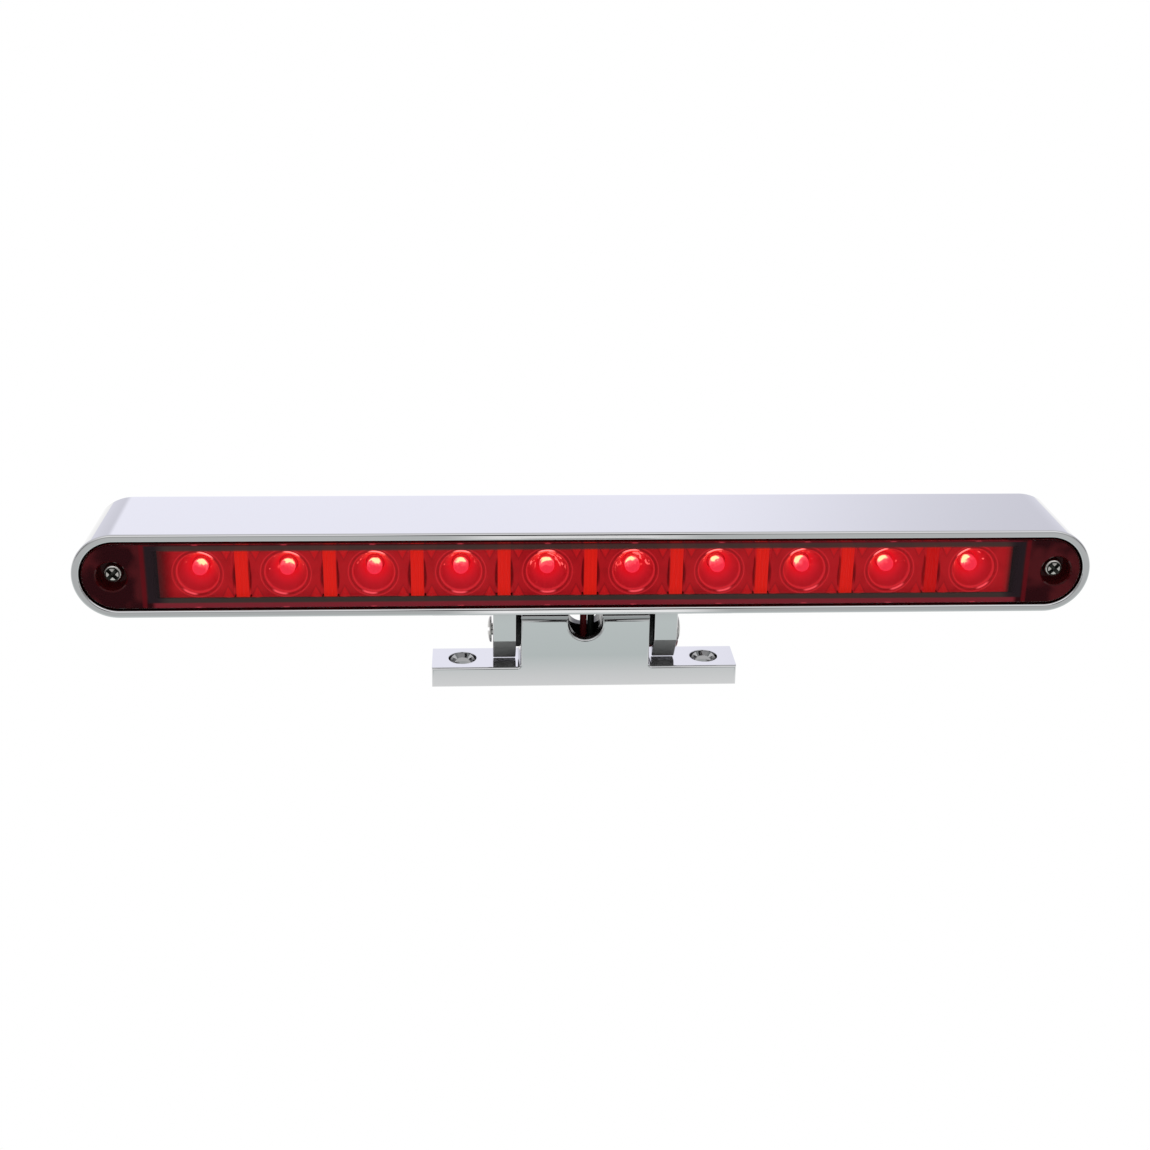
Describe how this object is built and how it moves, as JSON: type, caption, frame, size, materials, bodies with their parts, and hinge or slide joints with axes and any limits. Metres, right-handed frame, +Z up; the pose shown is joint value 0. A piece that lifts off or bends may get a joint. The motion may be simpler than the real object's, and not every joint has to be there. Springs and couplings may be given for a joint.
{
  "type": "third brake light",
  "caption": "Slim high-mount LED stop lamp: round-ended chrome housing with a red lens, tilting between two hinge lugs on a two-hole swivel base, with a two-wire lead.",
  "frame": {"origin": "centre of the underside of the base, which is the surface the lamp is screwed down on", "axes": "+Z up, -Y out of the lens, +X along the lamp to the right as seen from the front"},
  "size_m": [0.2414, 0.0448, 0.0436],
  "materials": {
    "chrome": "polished chrome plating on die-cast metal",
    "steel": "plated steel screws",
    "lens_red": "clear red moulded lens, glossy",
    "reflector_mirror": "bright metallised plastic, satin; looks red through the lens",
    "case_black": "black moulded plastic",
    "board": "green solder mask",
    "component_black": "black moulded component bodies",
    "led_emitter": "clear moulded LED bullet, lit",
    "rubber": "matt black rubber and fibre",
    "lead_red": "red wire insulation, satin",
    "lead_black": "black wire insulation, satin"
  },
  "bodies": {
    "base": {"base_bracket": "chrome", "pivot_screw_left": "steel", "pivot_screw_right": "steel", "washer_left": "rubber", "washer_right": "rubber", "lead_red": "lead_red", "lead_black": "lead_black", "lead_red_coil": "lead_red", "lead_black_coil": "lead_black"},
    "lamp": {"housing": "chrome", "lens": "lens_red", "back_case": "case_black", "reflector": "reflector_mirror", "circuit_board": "board", "resistor_left": "component_black", "resistor_right": "component_black", "polarity_diode": "component_black", "lead_grommet": "rubber", "lead_red_inside": "lead_red", "lead_black_inside": "lead_black", "lens_screw_left": "steel", "lens_screw_right": "steel", "led_01": "led_emitter", "led_02": "led_emitter", "led_03": "led_emitter", "led_04": "led_emitter", "led_05": "led_emitter", "led_06": "led_emitter", "led_07": "led_emitter", "led_08": "led_emitter", "led_09": "led_emitter", "led_10": "led_emitter"}
  },
  "joints": [
    {"name": "tilt", "type": "hinge", "parent": "base", "child": "lamp", "pos_m": [0, 0, 0.013], "axis": [1, 0, 0], "range_deg": [-45, 45]}
  ]
}
